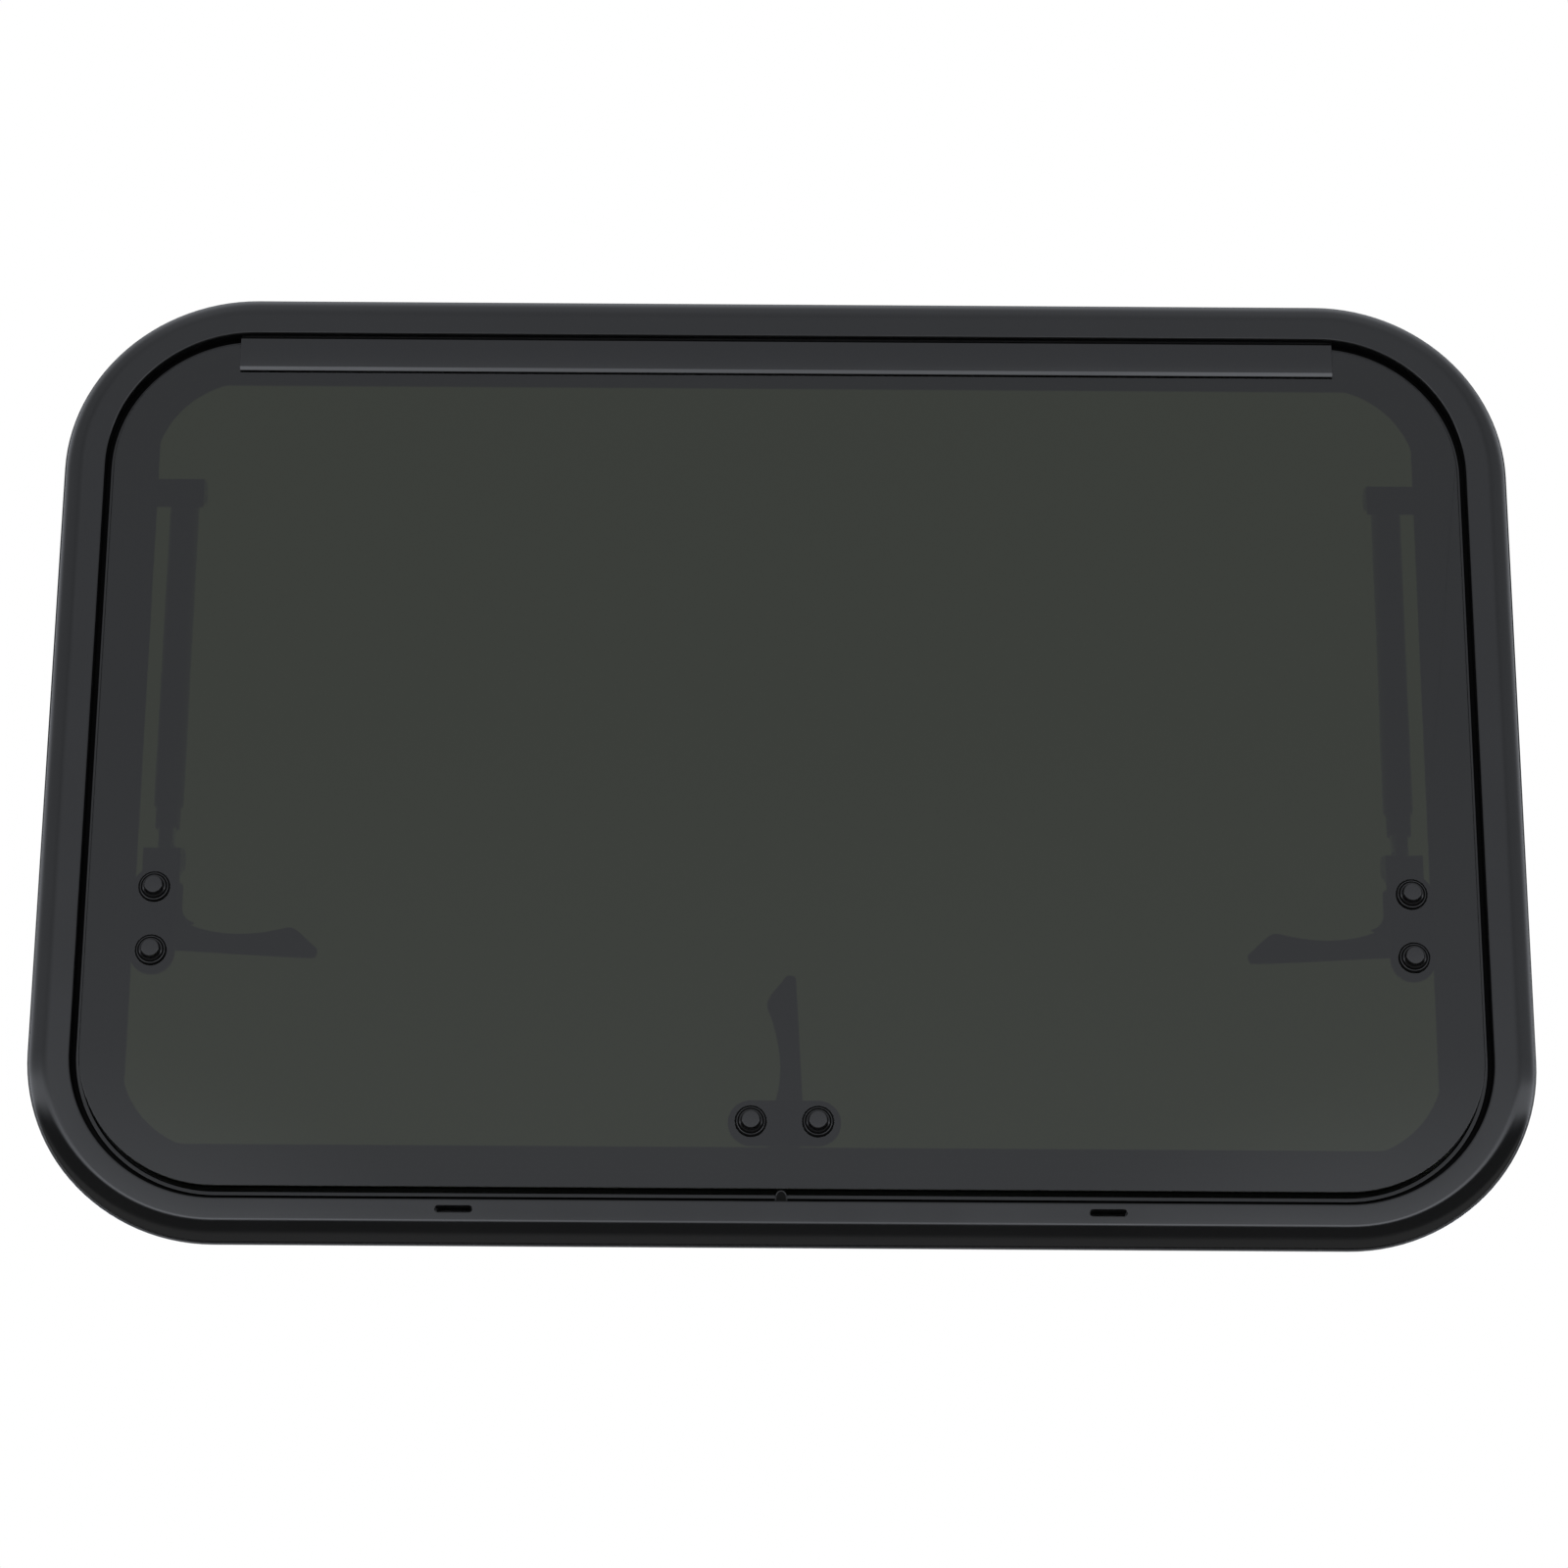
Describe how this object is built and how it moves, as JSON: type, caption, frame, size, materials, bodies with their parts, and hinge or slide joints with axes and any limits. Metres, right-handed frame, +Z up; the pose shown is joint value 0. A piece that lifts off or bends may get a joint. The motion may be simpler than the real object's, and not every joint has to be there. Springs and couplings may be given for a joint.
{
  "type": "caravan window",
  "caption": "Top-hung caravan window: black bent frame, tinted glass sash, clamp ring, telescopic stays and lever catches that turn.",
  "frame": {"origin": "middle of the lower edge of the wall cut-out, on the flat back face of the outer flange, which lies on the wall's outer surface", "axes": "+Z up, +Y from outdoors to indoors, +X to the right as seen from outdoors"},
  "size_m": [0.79, 0.0393, 0.536],
  "materials": {
    "frame_black": "satin black powder coat",
    "seal_rubber": "matt black rubber",
    "tinted_glass": "dark grey tinted safety glass, polished",
    "catch_plastic": "moulded black, fine grain",
    "cap_black": "smooth black",
    "stay_black": "black anodised",
    "bright_steel": "dull zinc plate"
  },
  "bodies": {
    "frame": {"outer_frame": "frame_black", "flange_seal": "seal_rubber", "clamp_ring": "frame_black", "sash_glass": "tinted_glass", "bulb_seal": "seal_rubber", "lip_seal": "seal_rubber", "lip_seal_joint": "seal_rubber", "hinge_rail": "frame_black", "hinge_strip": "frame_black", "left_catch_pad": "seal_rubber", "left_catch_plate": "catch_plastic", "left_catch_bolts": "cap_black", "left_catch_washers": "seal_rubber", "left_pivot_pin": "bright_steel", "right_catch_pad": "seal_rubber", "right_catch_plate": "catch_plastic", "right_catch_bolts": "cap_black", "right_catch_washers": "seal_rubber", "right_pivot_pin": "bright_steel", "bottom_catch_pad": "seal_rubber", "bottom_catch_plate": "catch_plastic", "bottom_catch_bolts": "cap_black", "bottom_catch_washers": "seal_rubber", "bottom_pivot_pin": "bright_steel", "left_stay_bracket": "catch_plastic", "left_stay_tube": "stay_black", "left_stay_collar": "catch_plastic", "left_stay_rod": "bright_steel", "left_stay_pins": "bright_steel", "right_stay_bracket": "catch_plastic", "right_stay_tube": "stay_black", "right_stay_collar": "catch_plastic", "right_stay_rod": "bright_steel", "right_stay_pins": "bright_steel"},
    "left_lever": {"left_lever": "catch_plastic"},
    "right_lever": {"right_lever": "catch_plastic"},
    "bottom_lever": {"bottom_lever": "catch_plastic"}
  },
  "joints": [
    {"name": "left_lever_turn", "type": "hinge", "parent": "frame", "child": "left_lever", "pos_m": [-0.3325, 0.016, 0.1602], "axis": [0, 1, 0], "range_deg": [0, 90]},
    {"name": "right_lever_turn", "type": "hinge", "parent": "frame", "child": "right_lever", "pos_m": [0.3325, 0.016, 0.1602], "axis": [0, -1, 0], "range_deg": [0, 90]},
    {"name": "bottom_lever_turn", "type": "hinge", "parent": "frame", "child": "bottom_lever", "pos_m": [0.0015, 0.016, 0.0517], "axis": [0, 1, 0], "range_deg": [0, 90]}
  ]
}
